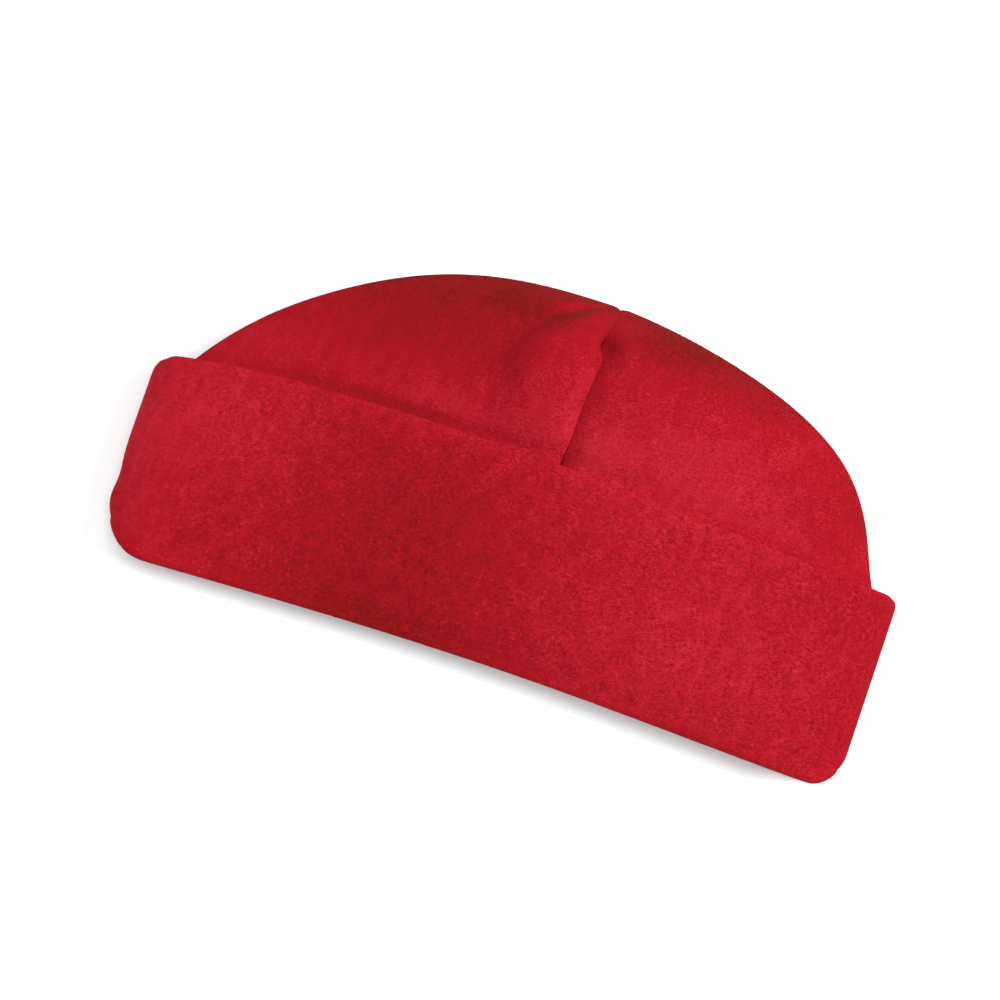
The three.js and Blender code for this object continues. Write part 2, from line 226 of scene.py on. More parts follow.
def light_the_room():
    world = bpy.data.worlds.new("studio")
    world.use_nodes = True
    background = world.node_tree.nodes["Background"]
    background.inputs["Color"].default_value = (1, 1, 1, 1)
    background.inputs["Strength"].default_value = WORLD_STRENGTH
    bpy.context.scene.world = world
    bpy.context.scene.view_settings.view_transform = "Standard"


for row in LIGHTS:
    place_light(row)
light_the_room()
print("lights:", ", ".join(row["name"] for row in LIGHTS))

# %% [markdown]
# ## Small helpers for materials
#
# A colour that is given here is an sRGB value, and a shader needs a linear one, so one function
# turns it. Node trees could be built by hand in the editor, but then nobody could read them
# here, so another function adds a node with its settings and its links in one statement.

# %% Helpers for colours and nodes


def linear(colour):
    """An sRGB hex colour as linear red, green, blue and 1."""
    parts = [int(colour[i : i + 2], 16) / 255 for i in (1, 3, 5)]
    turned = [c / 12.92 if c <= 0.04045 else ((c + 0.055) / 1.055) ** 2.4 for c in parts]
    return (*turned, 1.0)


def add_node(tree, kind, settings=None, values=None, links=None):
    """Adds a node. settings are its properties, values its sockets' numbers, links its inputs."""
    node = tree.nodes.new(kind)
    for name, value in (settings or {}).items():
        setattr(node, name, value)
    for socket, value in (values or {}).items():
        node.inputs[socket].default_value = value
    for socket, source in (links or {}).items():
        tree.links.new(source, node.inputs[socket])
    return node


def new_material(name):
    material = bpy.data.materials.new(name)
    material.use_nodes = True
    material.node_tree.nodes.clear()
    return material


print("a mid grey is", round(linear("#808080")[0], 3), "in linear light")

# %% [markdown]
# ## The floor
#
# The hat lies on white board. A flat plane would end in a horizon when it is seen from low
# down, so the board is a disc that curves up at its rim, as the paper in a photo studio does.

# %% Lay the floor
FLOOR_RADIUS = 2.4
BACKDROP_RADIUS = 1.2
FLOOR_SEGMENTS = 96
CURVE_STEPS = 16


def lay_floor():
    """A round floor that curves up at its rim."""
    angles = np.linspace(0, math.pi / 2, CURVE_STEPS + 1)
    radii = FLOOR_RADIUS + BACKDROP_RADIUS * np.sin(angles)
    heights = BACKDROP_RADIUS * (1 - np.cos(angles))
    around = np.linspace(0, 2 * math.pi, FLOOR_SEGMENTS, endpoint=False)
    rings = zip(radii, heights)
    corners = [(r * math.cos(a), r * math.sin(a), z) for r, z in rings for a in around]
    faces = [tuple(range(FLOOR_SEGMENTS))]
    for ring in range(CURVE_STEPS):
        for i in range(FLOOR_SEGMENTS):
            j = (i + 1) % FLOOR_SEGMENTS
            low, high = ring * FLOOR_SEGMENTS, (ring + 1) * FLOOR_SEGMENTS
            faces.append((low + i, high + i, high + j, low + j))
    mesh = bpy.data.meshes.new("floor")
    mesh.from_pydata(corners, [], faces)
    mesh.shade_smooth()
    floor = bpy.data.objects.new("floor", mesh)
    bpy.context.scene.collection.objects.link(floor)
    material = new_material("white painted board")
    tree = material.node_tree
    paint = add_node(
        tree,
        "ShaderNodeBsdfPrincipled",
        values={"Base Color": linear("#f5fafa"), "Roughness": 0.9, "Specular IOR Level": 0.1},
    )
    add_node(tree, "ShaderNodeOutputMaterial", links={"Surface": paint.outputs[0]})
    mesh.materials.append(material)
    return floor


floor = lay_floor()
print("floor laid,", len(floor.data.polygons), "faces")

# %% [markdown]
# ## Curves that the pieces share
#
# Every piece follows the same few curves: the turn of the cloth over the side folds, the low
# arch of the upper half, and the outlines of crown and cuff. They could be drawn by hand as
# curve objects, but formulas keep neighbouring pieces in step. They take whole arrays, so that
# a piece of tens of thousands of points is worked out at once.

# %% Plain curves


def mix(start, end, share):
    return start + (end - start) * share


def clamped(value):
    return np.clip(value, 0.0, 1.0)


def smooth(value):
    share = clamped(value)
    return share * share * (3 - 2 * share)


def hill(distance, half_width):
    """A soft hill that is 1 at distance 0."""
    return np.exp(-((distance / half_width) ** 2))


def side_turn(share, turn_share):
    """The quarter round in which the cloth turns over a side fold: 1 inside it, 0 at its end."""
    turned = clamped((np.abs(share) - 1 + turn_share) / turn_share)
    return np.sqrt(1 - turned**2)


def arch(share):
    """The low arch from one side to the other: 1 in the middle, 0 at the sides."""
    return (1 - clamped(share**2)) ** ARCH_POWER


def front_rise(share, rise, side_rise, turn_share):
    """How far the upper half stands above the side folds."""
    return side_rise * side_turn(share, turn_share) + (rise - side_rise) * arch(share)


def corner_inset(radius, from_end):
    """How far a round corner keeps in from the side, at a distance from the corner's end."""
    left = radius - np.minimum(radius, np.maximum(0, from_end))
    return radius - np.sqrt(np.maximum(0, radius**2 - left**2))


def points(x, y, z):
    return np.stack(np.broadcast_arrays(x, y, z), axis=-1)


print(f"half way to the side the arch is {arch(0.5):.2f} of its height")

# %% [markdown]
# ## The crown's gores
#
# A gore is a leaf of cloth. Two front gores meet in a seam that runs from the cuff to the tip,
# and the left one has set into a soft roll that leans over the right one. The roll, the
# valley beside it and the dents are rows of one table: each is a soft hill, up or down, at a
# distance from the seam. Carving them in code keeps the photograph's folds where they are,
# which a simulation of cloth would not.

# %% Folds beside the front seam
# rise is a share of ROLL_HEIGHT. away, inner and outer are the place and the two half widths,
# in shares of ROLL_WIDTH. middle and half_length are shares of the crown's length.
SEAM_FOLDS = table(
    ("name", "side", "rise", "away", "inner", "outer", "middle", "half_length"),
    ("roll", "left", 1.25, 0.92, 0.85, 0.34, 0.72, 0.36),
    ("valley", "left", -0.8, 1.65, 0.35, 0.6, 0.8, 0.24),
    ("rolled rim", "left", -0.45, 0.0, 0.1, 0.2, 0.7, 0.35),
    ("ditch", "right", -0.4, 0.0, 0.18, 0.18, 0.5, 0.7),
    ("slope", "right", -0.3, 0.0, 0.5, 0.5, 0.5, 0.6),
    ("pocket", "right", -0.7, 0.1, 0.2, 0.2, 0.78, 0.06),
    ("pucker", "right", 0.35, 0.45, 0.22, 0.2, 0.82, 0.13),
)
LEAF_START = 0.6
LEAF_FULL = 1.02
SEAM_LEAN_START = 0.4
EDGE_DIP_PLACE = TUCK_SHARE * 1.1
EDGE_DIP_WIDTH = 0.05
print(len(SEAM_FOLDS), "folds beside the seam")

# %% The crown's surface


def seam_x(height):
    """The seam runs straight up from the cuff and then leans towards the tip."""
    return SEAM_OFFSET + SEAM_LEAN * smooth((height - SEAM_LEAN_START) / (1 - SEAM_LEAN_START))


def crown_reach(side, height):
    """How far a gore reaches from the seam to its side fold."""
    row = CROWN_SIDES[side]
    outline = np.maximum(0, 1 - height ** row["rise"]) ** (1 / row["round"])
    filled = row["fullness"] * height * (1 - height) * (2 * height - 1)
    return HAT_WIDTH * row["reach"] * (outline + filled)


def crown_back_drop(height):
    """How far the back hangs below the side folds. Past the cuff it sinks to the surface."""
    past = (height - TUCK_SHARE) * CROWN_LENGTH - NEST_GAP
    layer = mix(SECOND_LAYER, TABLE_LAYER, smooth(past / CROWN_SAG))
    return (SIDE_FOLD_HEIGHT - layer) * np.sqrt(np.maximum(0, 1 - height**BACK_TIP_POWER))


def clear_of_cuff(height):
    """0 where the crown is tucked into the cuff, and 1 a little above the cuff's edge."""
    return smooth((height - TUCK_SHARE) / TUCK_SHARE)


def leaf(height):
    """The folds draw together towards the tip, as the two sides of a leaf do."""
    return LEAF_FULL - clamped((height - LEAF_START) / (1 - LEAF_START)) ** 2


def seam_fold_rise(side, away, height):
    """How far the folds lift the cloth. What is raised starts above the cuff's edge."""
    place = away / (ROLL_WIDTH * leaf(height))
    sewn_fade = smooth(height / TUCK_SHARE)
    rise = 0.0
    for fold in SEAM_FOLDS:
        if fold["side"] == side:
            past = place - fold["away"]
            across = hill(past, np.where(past < 0, fold["inner"], fold["outer"]))
            along = hill(height - fold["middle"], fold["half_length"])
            fade = clear_of_cuff(height) if fold["rise"] > 0 else sewn_fade
            rise = rise + ROLL_HEIGHT * fold["rise"] * across * along * fade
    return rise


def crown_point(side, face, across, height):
    """A point of a gore's middle surface. across is 0 at the seam and 1 at the side fold."""
    reach = crown_reach(side, height)
    x = seam_x(height) + CROWN_SIDES[side]["sign"] * reach * across
    y = CROWN_BASE_Y + CROWN_LENGTH * height
    turn_share = mix(TURN_SHARE, TIP_TURN, height)
    if face == "back":
        drop = crown_back_drop(height) * side_turn(across, turn_share)
        return points(x, y, SIDE_FOLD_HEIGHT - drop)
    swell = CROWN_SWELL * smooth((height - TUCK_SHARE) / (1 - TUCK_SHARE))
    rise = front_rise(across, CROWN_BASE_RISE + swell, CROWN_SIDE_RISE, turn_share)
    fold = seam_fold_rise(side, reach * across, height) * arch(across)
    fold = fold - EDGE_DIP * hill(height - EDGE_DIP_PLACE, EDGE_DIP_WIDTH) * arch(across)
    closing = np.sqrt(np.maximum(0, 1 - height**FRONT_TIP_POWER))
    return points(x, y, SIDE_FOLD_HEIGHT + (rise + fold) * closing)


for side in CROWN_SIDES:
    print(f"the {side} gore reaches {crown_reach(side, 0) / MM:.0f} mm from the seam")

# %% [markdown]
# ## The cuff
#
# The band is one strip of fleece, sewn to the crown inside and folded up outside at the mouth.
# A flat strip could be bent with modifiers, but its length and its round corners would then be
# hard to hit. Going down the outer leg, round the fold and up the inner leg is one path here,
# so each half of the band is a single sheet. Its corners seen from above are rounded, and the
# left one by the mouth most.

# %% The outer leg
EDGE_LIFT_PLACE = -0.45
EDGE_LIFT_WIDTH = 0.4
EDGE_LIFT_POWER = 6
CUFF_LIFT_POWER = 4


def by_end(across, name):
    """A value of the cuff's left or right end, for each place across."""
    left, right = CUFF_ENDS
    return np.where(across < 0, left[name], right[name])


def corner_edge(radius, across):
    """How far an edge keeps back and in where it sweeps round a corner."""
    straight = 1 - radius / CUFF_HALF_WIDTH
    past = clamped((np.abs(across) - straight) / (1 - straight))
    angle = past * math.acos(1 - CORNER_SWEEP)
    return radius * (1 - np.cos(angle)), radius * (past - np.sin(angle))


def corner_fade(radius, distance):
    """1 on the edge that sweeps round a corner, and 0 once the side is straight."""
    return clamped(corner_inset(radius, distance) / corner_inset(radius, radius * CORNER_SWEEP))


def cuff_top_line(across):
    """Where the cuff's upper edge lies. It drops a little towards both ends."""
    power = by_end(across, "dip_power")
    return CUFF_TOP_Y - by_end(across, "top_dip") * CUFF_DEPTH * np.abs(across) ** power


def outer_leg_point(face, across, up):
    """A point of the outer leg, from up = 0 at the fold to 1 at the cuff's upper edge."""
    fold_radius = by_end(across, "fold_corner") * CUFF_DEPTH
    top_radius = by_end(across, "top_corner") * CUFF_DEPTH
    fold_back, fold_in = corner_edge(fold_radius, across)
    top_back, top_in = corner_edge(top_radius, across)
    bow = FOLD_BOW + (BACK_FOLD_INSET if face == "back" else 0)
    bent = bow * (1 - across**2) ** by_end(across, "bow_power")
    fold_line = MOUTH_Y + FLEECE / 2 + FOLD_RADIUS + bent
    top_line = cuff_top_line(across)
    y = mix(fold_line + fold_back, top_line - top_back, up)
    drawn_in = fold_in * corner_fade(fold_radius, y - fold_line)
    drawn_in = drawn_in + top_in * corner_fade(top_radius, top_line - y)
    leaned = by_end(across, "slant") * np.maximum(0, up - by_end(across, "fold_corner"))
    x = CUFF_HALF_WIDTH * (1 - leaned) * across - np.sign(across) * drawn_in
    if face == "back":
        drop = (SIDE_FOLD_HEIGHT - TABLE_LAYER) * side_turn(across, TURN_SHARE)
        return points(x, y, SIDE_FOLD_HEIGHT - drop)
    risen = 1 - (1 - up) ** CUFF_RISE_POWER
    loose = EDGE_LIFT * hill(across - EDGE_LIFT_PLACE, EDGE_LIFT_WIDTH) * up**EDGE_LIFT_POWER
    lift = CUFF_LIFT * up**CUFF_LIFT_POWER + loose
    middle_rise = mix(CUFF_FOLD_RISE, CUFF_TOP_RISE, risen) + lift
    return points(x, y, SIDE_FOLD_HEIGHT + front_rise(across, middle_rise, SIDE_RISE, TURN_SHARE))


for row in CUFF_ENDS:
    print(f"{row['end']} corner by the mouth: {row['fold_corner'] * CUFF_DEPTH / MM:.0f} mm round")

# %% The fold and the inner leg
STEP = 1e-4


def unit(vectors):
    return vectors / np.linalg.norm(vectors, axis=-1, keepdims=True)


def fold_point(face, across, turn):
    """A point of the fold, from turn = 0 at the outer leg to 1 at the inner leg."""
    inside = np.clip(across, STEP - 1, 1 - STEP)
    edge = outer_leg_point(face, across, np.zeros_like(across))
    down = unit(edge - outer_leg_point(face, across, np.full_like(across, STEP)))
    ahead = outer_leg_point(face, inside + STEP, 0 * across)
    along = ahead - outer_leg_point(face, inside - STEP, 0 * across)
    outward = unit(np.cross(along, down))
    wrong_way = outward[..., 2:] * (1 if face == "back" else -1) > 0
    outward = np.where(wrong_way, -outward, outward)
    at_end = (np.abs(across) >= 1)[..., None]
    outward = unit(np.where(at_end, outward * np.array([1, 1, 0]), outward))
    angle = (turn * math.pi)[..., None]
    return edge + FOLD_RADIUS * (outward * (np.cos(angle) - 1) + down * np.sin(angle))


def inner_leg_point(face, across, up):
    """A point of the inner leg, from up = 0 at the fold to 1 at the crown's sewn edge."""
    start = fold_point(face, across, np.ones_like(across))
    base = np.zeros_like(across)
    left = crown_point("left", face, np.abs(across), base)
    right = crown_point("right", face, np.abs(across), base)
    end = np.where((across < 0)[..., None], left, right)
    risen = 1 - (1 - up) ** CUFF_RISE_POWER
    return points(
        mix(start[..., 0], end[..., 0], risen),
        mix(start[..., 1], end[..., 1] - SEAM_GAP, up),
        mix(start[..., 2], end[..., 2], risen),
    )


def cuff_point(face, across, path):
    """Down the outer leg for path 0 to 1, round the fold to 2, and up inside to 3."""
    outer = outer_leg_point(face, across, clamped(1 - path))
    fold = fold_point(face, across, clamped(path - 1))
    inner = inner_leg_point(face, across, clamped(path - 2))
    path = path[..., None]
    return np.where(path <= 1, outer, np.where(path <= 2, fold, inner))


print(f"the fold takes {math.pi * FOLD_RADIUS / MM:.1f} mm of cloth")

# %% [markdown]
# ## Painted light and shade
#
# The hat's broad changes of tone are painted into its colour as light and shade. Soft patches
# make the crown's rims, the mouth and the middle of the cuff darker, and the roll, the right
# side and the cuff's left end lighter. They could be painted on by hand, but soft hills in a
# table, placed by shares of the hat's width, are easier to move. More painted shade lies beside
# the cuff's edge and where the cloth turns away at the crown's rim, and along the seam there
# is painted light on the roll and painted shade beside it. Where the nap is rubbed it is coarse
# and curled, as on the cuff, and near the crown's rim it is smooth.

# %% Painted light and shade, and the nap's coarseness
PATCH_COLUMNS = ("name", "x", "y", "half_width", "half_length", "amount")
# Painted light and shade: rows named deep are painted shade, rows named light are painted light.
LIGHT_AND_SHADE_PATCHES = table(
    PATCH_COLUMNS,
    ("deep, middle of the cuff", -0.12, -0.12, 0.15, 0.14, -0.2),
    ("deep, by the mouth", -0.11, -0.24, 0.15, 0.035, -0.25),
    ("deep, middle of the mouth", -0.19, -0.2, 0.07, 0.03, -0.08),
    ("deep, right of the mouth", 0.29, -0.25, 0.09, 0.02, -0.18),
    ("deep, left rim of the crown", -0.19, 0.19, 0.17, 0.075, -0.34),
    ("deep, left of the roll", -0.07, 0.218, 0.06, 0.024, -0.28),
    ("deep, right rim by the tip", 0.13, 0.218, 0.08, 0.03, -0.38),
    ("deep, right rim of the crown", 0.25, 0.19, 0.08, 0.025, -0.2),
    ("deep, right foot of the crown", 0.41, 0.1, 0.07, 0.06, -0.16),
    ("deep, right end of the cuff", 0.5, -0.12, 0.03, 0.12, -0.16),
    ("light, left of the roll", -0.12, 0.06, 0.1, 0.04, 0.16),
    ("light, on the roll", 0.0, 0.13, 0.035, 0.07, 0.1),
    ("light, right of the crown", 0.2, 0.07, 0.19, 0.08, 0.2),
    ("light, right of the seam", 0.075, 0.07, 0.03, 0.04, 0.14),
    ("light, right of the cuff", 0.3, -0.14, 0.2, 0.12, 0.16),
    ("light, left of the cuff", -0.38, -0.04, 0.12, 0.08, 0.14),
    ("light, left end of the cuff", -0.5, -0.1, 0.05, 0.13, 0.16),
)
SMOOTH_PATCHES = table(
    PATCH_COLUMNS,
    ("smooth, left of the crown", -0.26, 0.12, 0.17, 0.1, 0.6),
    ("smooth, top of the crown", 0.0, 0.25, 0.25, 0.06, 0.6),
    ("smooth, middle of the cuff", -0.02, -0.08, 0.06, 0.05, 0.4),
    ("smooth, left end of the cuff", -0.47, -0.1, 0.1, 0.2, 0.55),
)
# x and half_width are shares of the hat's width, along the cuff's edge.
# Painted shade on the crown along the cuff's edge.
CUFF_EDGE_SHADES = table(
    ("x", "half_width", "tone"),
    (-0.32, 0.1, -0.2),
    (-0.16, 0.1, -0.3),
    (0.24, 0.12, -0.12),
)
EDGE_SHADE_PLACE = 1.5 * MM
EDGE_SHADE_WIDTH = 2.6 * MM
# Painted shade, darker where the cloth faces less straight up.
RIM_SHADE = -0.34
RIM_FACING = 0.7
RIM_SPAN = 0.5
SEAM_TONE_END = 0.6
SEAM_TONE_FADE = 0.3
# Painted light on the roll left of the seam, and painted shade beside it on the right.
SEAM_LIGHT_AND_SHADE = {
    "left": {"tone": 0.12, "place": 2.5 * MM, "width": 2.4 * MM},
    "right": {"tone": -0.16, "place": 2 * MM, "width": 4 * MM},
}


def patchwork(patches, x, y):
    """The sum of soft patches at the places x, y."""
    total = np.zeros_like(x)
    for patch in patches:
        across = hill(x / HAT_WIDTH - patch["x"], patch["half_width"])
        total += patch["amount"] * across * hill(y / HAT_WIDTH - patch["y"], patch["half_length"])
    return total


def painted_edge_shading(side, x, y, away, height, facing):
    """Painted shade beside the cuff's edge and where the cloth turns away at the rim, and painted
    light and shade along the seam.
    """
    above = y - cuff_top_line(np.clip(x / CUFF_HALF_WIDTH, -1, 1))
    tone = RIM_SHADE * smooth((RIM_FACING - facing) / RIM_SPAN)
    for edge in CUFF_EDGE_SHADES:
        along = hill(x / HAT_WIDTH - edge["x"], edge["half_width"])
        tone = tone + edge["tone"] * along * hill(above - EDGE_SHADE_PLACE, EDGE_SHADE_WIDTH)
    seam = SEAM_LIGHT_AND_SHADE[side]
    along_seam = clear_of_cuff(height) * (1 - smooth((height - SEAM_TONE_END) / SEAM_TONE_FADE))
    return tone + seam["tone"] * hill(away - seam["place"], seam["width"]) * along_seam


print(len(LIGHT_AND_SHADE_PATCHES), "patches of nap and", len(SMOOTH_PATCHES), "smooth ones")

# %% [markdown]
# ## From a surface to a layer of cloth
#
# A sheet of fleece has a middle surface with half its thickness on each side. Cut fleece has
# no sharp edges: its fibres spread, so the layer thins out in a round over its last few
# millimetres. A Solidify modifier would leave square rims, so both skins are worked out here.
# Each point keeps three facts as attributes: how thickly the pile grows there, the painted
# light and shade, and how coarse the nap is.

# %% Make a closed layer
OUTER_ROUND = 3.6 * MM
INNER_ROUND = 1.3 * MM
THINNEST = 0.12
STANDING_START = 0.3
STANDING_SPAN = 0.5


def surface_normals(surface, u, v, last_u, last_v):
    """Which way the surface faces, from small steps along u and v."""
    along_u = surface(np.minimum(last_u, u + STEP), v) - surface(np.maximum(0, u - STEP), v)
    along_v = surface(u, np.minimum(last_v, v + STEP)) - surface(u, np.maximum(0, v - STEP))
    return unit(np.cross(along_u, along_v))


def run_lengths(middle, axis):
    """How far each point is along the cloth from the start of its row or column, and its end."""
    steps = np.linalg.norm(np.diff(middle, axis=axis), axis=-1)
    start = np.zeros_like(np.take(steps, [0], axis=axis))
    from_start = np.concatenate([start, np.cumsum(steps, axis=axis)], axis=axis)
    whole = np.take(from_start, [-1], axis=axis)
    return from_start, whole - from_start


def rounding(from_edge, radius):
    """The share of its thickness that the cloth has near a cut edge."""
    share = clamped(from_edge / radius)
    return np.maximum(THINNEST, np.sqrt(1 - (1 - share) ** 2))


def layer_faces(rows, columns, closes_in_tip):
    """Quads of both skins and of the rim between them. Skins are numbered outer first."""
    count = rows * columns
    grid = np.arange(count).reshape(rows, columns)
    corners = (grid[:-1, :-1], grid[:-1, 1:], grid[1:, 1:], grid[1:, :-1])
    skin = np.stack(corners, axis=-1).reshape(-1, 4)
    rims = [grid[:, 0][::-1], grid[0, :], grid[:, -1]]
    if not closes_in_tip:
        rims.append(grid[-1, :][::-1])
    quads = [skin, skin[:, ::-1] + count]
    for rim in rims:
        quads.append(np.stack([rim[1:], rim[:-1], rim[:-1] + count, rim[1:] + count], axis=-1))
    return np.concatenate(quads)


def layer_skins(middle, normals, closes_in_tip):
    """Both skins, thinned at the cut edges. Ends that stand upright keep their thickness."""
    from_sides = np.minimum(*run_lengths(middle, 1))
    from_start, from_end = run_lengths(middle, 0)
    from_ends = from_start if closes_in_tip else np.minimum(from_start, from_end)
    standing = smooth((1 - np.abs(normals[..., 2]) - STANDING_START) / STANDING_SPAN)
    skins = []
    for sign, radius in ((1, OUTER_ROUND), (-1, INNER_ROUND)):
        thinned = mix(rounding(from_ends, radius), 1, standing)
        thinned = np.minimum(thinned, rounding(from_sides, radius))
        skin = middle + sign * normals * (FLEECE / 2 * thinned)[..., None]
        skins.append(skin.reshape(-1, 3))
    return np.concatenate(skins)


def make_layer(name, surface, us, vs, square_off, form, shift, relief, tip=None, pressed=None):
    """A closed layer of fleece around surface(u, v), as a new object.

    square_off turns the normals at the edges, and form moves the middle surface. relief says
    how thickly the pile grows, and pressed adds painted light and shade at edges, rims and the
    seam.
    """
    u, v = np.meshgrid(us, vs)
    normals = unit(square_off(surface_normals(surface, u, v, us[-1], vs[-1]), u, v))
    closes_in_tip = tip is not None
    if closes_in_tip:
        normals[-1] = tip
    middle = form(surface(u, v), u, v)
    both = layer_skins(middle, normals, closes_in_tip) + np.array(shift)
    mesh = bpy.data.meshes.new(name)
    mesh.from_pydata(both.tolist(), [], layer_faces(len(vs), len(us), closes_in_tip).tolist())
    coarse = 1 - patchwork(SMOOTH_PATCHES, both[:, 0], both[:, 1])
    # painted_tone holds painted light and shade: the patches, and more along edges, rims and the
    # seam.
    painted_tone = patchwork(LIGHT_AND_SHADE_PATCHES, both[:, 0], both[:, 1])
    if pressed is not None:
        painted_tone = painted_tone + np.tile(pressed(u, v, normals[..., 2]).ravel(), 2)
    growth = np.concatenate([relief(u, v).ravel(), np.zeros(u.size)]) * coarse
    for fact, values in (("pile", growth), ("painted_tone", painted_tone), ("coarse", coarse)):
        attribute = mesh.attributes.new(fact, "FLOAT", "POINT")
        attribute.data.foreach_set("value", values.astype(np.float32))
    mesh.shade_smooth()
    piece = bpy.data.objects.new(name, mesh)
    bpy.context.scene.collection.objects.link(piece)
    return piece


print(f"a cut edge is rounded over {OUTER_ROUND / MM:.1f} mm outside")

# %% [markdown]
# ## Cut and sew the gores
#
# Each gore could be cut flat and bent into shape, but its seams would then have to be sewn by a
# simulation. Here a gore is a grid of points laid straight on its curved surface. Its columns
# are closer at the seam and at the side fold, where the cloth bends most, and its rows are
# closer at the tip. Beside the seam the roll's rim leans over to the right, apart from a notch
# near the tip, and the right gore's rim runs on under it.

# %% Cut the four gores
FRONT_GORE_GRID = (150, 110)
BACK_GORE_GRID = (90, 70)
UNDERLAP = 3.0 * MM
LEAN_OVER = 1.0 * MM
LEAN_WIDTH = 5 * MM
NOTCH = 3.2 * MM
NOTCH_HEIGHT = 0.795
NOTCH_BELOW = 0.045
NOTCH_ABOVE = 0.11
TIP_FADE_POWER = 40
GORE_PILE_SIDE = 0.98
GORE_PILE_TIP = 0.99


def beside_seam(away, height):
    """1 at the seam, from the cuff's edge almost to the tip, and 0 away from it."""
    return hill(away, LEAN_WIDTH) * clear_of_cuff(height) * (1 - height**TIP_FADE_POWER)


def lean_over(away, height):
    """How far the roll's rim leans over the seam. In the notch it is drawn back."""
    past = height - NOTCH_HEIGHT
    notch = NOTCH * hill(past, np.where(past < 0, NOTCH_BELOW, NOTCH_ABOVE))
    return (LEAN_OVER - notch) * beside_seam(away, height)


def reach_under(away, height):
    """How far the right gore's rim runs on under the roll, so that no gap shows."""
    return -UNDERLAP * beside_seam(away, height)


def cut_gore(side, face):
    """One gore. u runs across it, and v from its sewn edge to the tip."""
    is_front = face == "front"
    # Across two of the four gores u runs the other way, so that all faces point out.
    faces_out = (side == "left") == is_front
    columns, rows = FRONT_GORE_GRID if is_front else BACK_GORE_GRID
    crowding = 2 if is_front else 1

    def places(u, v):
        from_side = u if faces_out else 1 - u
        return np.cos(from_side * math.pi / 2) ** crowding, np.sin(v * math.pi / 2)

    def surface(u, v):
        across, height = places(u, v)
        return crown_point(side, face, across, height)

    def square_off(normals, u, v):
        from_side = u if faces_out else 1 - u
        normals[..., 2] = np.where(from_side == 0, 0, normals[..., 2])
        normals[..., 0] = np.where(from_side == 1, 0, normals[..., 0])
        normals[..., 1] = np.where(v == 0, 0, normals[..., 1])
        return normals

    def form(middle, u, v):
        across, height = places(u, v)
        if is_front:
            carry = lean_over if side == "left" else reach_under
            middle[..., 0] += carry(crown_reach(side, height) * across, height)
        return middle

    def relief(u, v):
        across, height = places(u, v)
        return clear_of_cuff(height) * (across < GORE_PILE_SIDE) * (height < GORE_PILE_TIP)

    # Painted shade along the cuff's edge and the rim, and painted light and shade by the seam.
    def pressed(u, v, facing):
        across, height = places(u, v)
        away = crown_reach(side, height) * across
        x = seam_x(height) + CROWN_SIDES[side]["sign"] * away
        return painted_edge_shading(side, x, CROWN_BASE_Y + CROWN_LENGTH * height, away, height, facing)

    half = SEAM_GAP / 2
    return make_layer(
        f"crown_{face}_{side}_cloth",
        surface,
        np.linspace(0, 1, columns + 1),
        np.linspace(0, 1, rows + 1),
        square_off,
        form,
        (CROWN_SIDES[side]["sign"] * half, 0, half if is_front else -half),
        relief,
        tip=(0, 1, 0),
        pressed=pressed if is_front else None,
    )


gores = {}
for face in ("front", "back"):
    for side in ("left", "right"):
        gores[face, side] = cut_gore(side, face)
        print(gores[face, side].name, len(gores[face, side].data.polygons), "faces")

# %% [markdown]
# ## Fold the cuff
#
# Both halves of the band come from one function, and only the side on which they lie differs.
# The rows are closer at the cut edge and round the fold. The cut edge has settled a little on
# the crown, and the left end is pressed in beside its lower corner. Both dents could be sculpted
# by hand, but two soft hills do the same and can be read.

# %% Fold the two halves of the cuff
CUFF_COLUMNS = 280
OUTER_LEG_ROWS = 64
CUFF_FOLD_ROWS = 14
INNER_LEG_ROWS = 26
CUFF_SETTLE = 0.9 * MM
SETTLE_WIDTH = 2.5 * MM
END_PRESS = 1.1 * MM
END_PRESS_PLACE = 0.74
END_PRESS_WIDTH = 0.12
END_PRESS_POWER = 12
CUFF_PILE_END = 0.97
CUFF_PILE_MARGIN = 0.15


def crowded(count):
    """Steps from 0 to 1 that are closer at both ends."""
    return (1 - np.cos(np.linspace(0, math.pi, count + 1))) / 2


def fold_cuff(face):
    """One half of the band. u runs from end to end, and v along the path of cuff_point."""
    sign = -1 if face == "front" else 1

    def surface(u, v):
        return cuff_point(face, sign * np.sin((u - 1) * math.pi / 2), v)

    def square_off(normals, u, v):
        at_side = (u == 0) | (u == 2)
        normals[..., 2] = np.where(at_side, 0, normals[..., 2])
        normals[..., 1] = np.where((v == 0) | (v == 3), 0, normals[..., 1])
        return normals

    def settle(middle, u, v):
        """The edge lies down on the crown, and the left end is pressed in a little."""
        at_left = clamped(-middle[..., 0] / CUFF_HALF_WIDTH) ** END_PRESS_POWER
        middle[..., 0] += END_PRESS * at_left * hill(v - END_PRESS_PLACE, END_PRESS_WIDTH)
        middle[..., 2] += sign * CUFF_SETTLE * hill(v * CUFF_DEPTH, SETTLE_WIDTH)
        return middle

    def relief(u, v):
        from_side = np.minimum(u, 2 - u)
        return (v <= CUFF_PILE_END) * (from_side > CUFF_PILE_MARGIN) * 1.0

    rows = np.concatenate(
        [
            crowded(OUTER_LEG_ROWS),
            1 + np.linspace(0, 1, CUFF_FOLD_ROWS + 1)[1:],
            2 + np.linspace(0, 1, INNER_LEG_ROWS + 1)[1:],
        ]
    )
    return make_layer(
        f"cuff_{face}_cloth",
        surface,
        np.linspace(0, 2, CUFF_COLUMNS + 1),
        rows,
        square_off,
        settle,
        (0, 0, -sign * SEAM_GAP / 2),
        relief,
    )


cuffs = {face: fold_cuff(face) for face in ("front", "back")}
for cuff in cuffs.values():
    print(cuff.name, len(cuff.data.polygons), "faces")
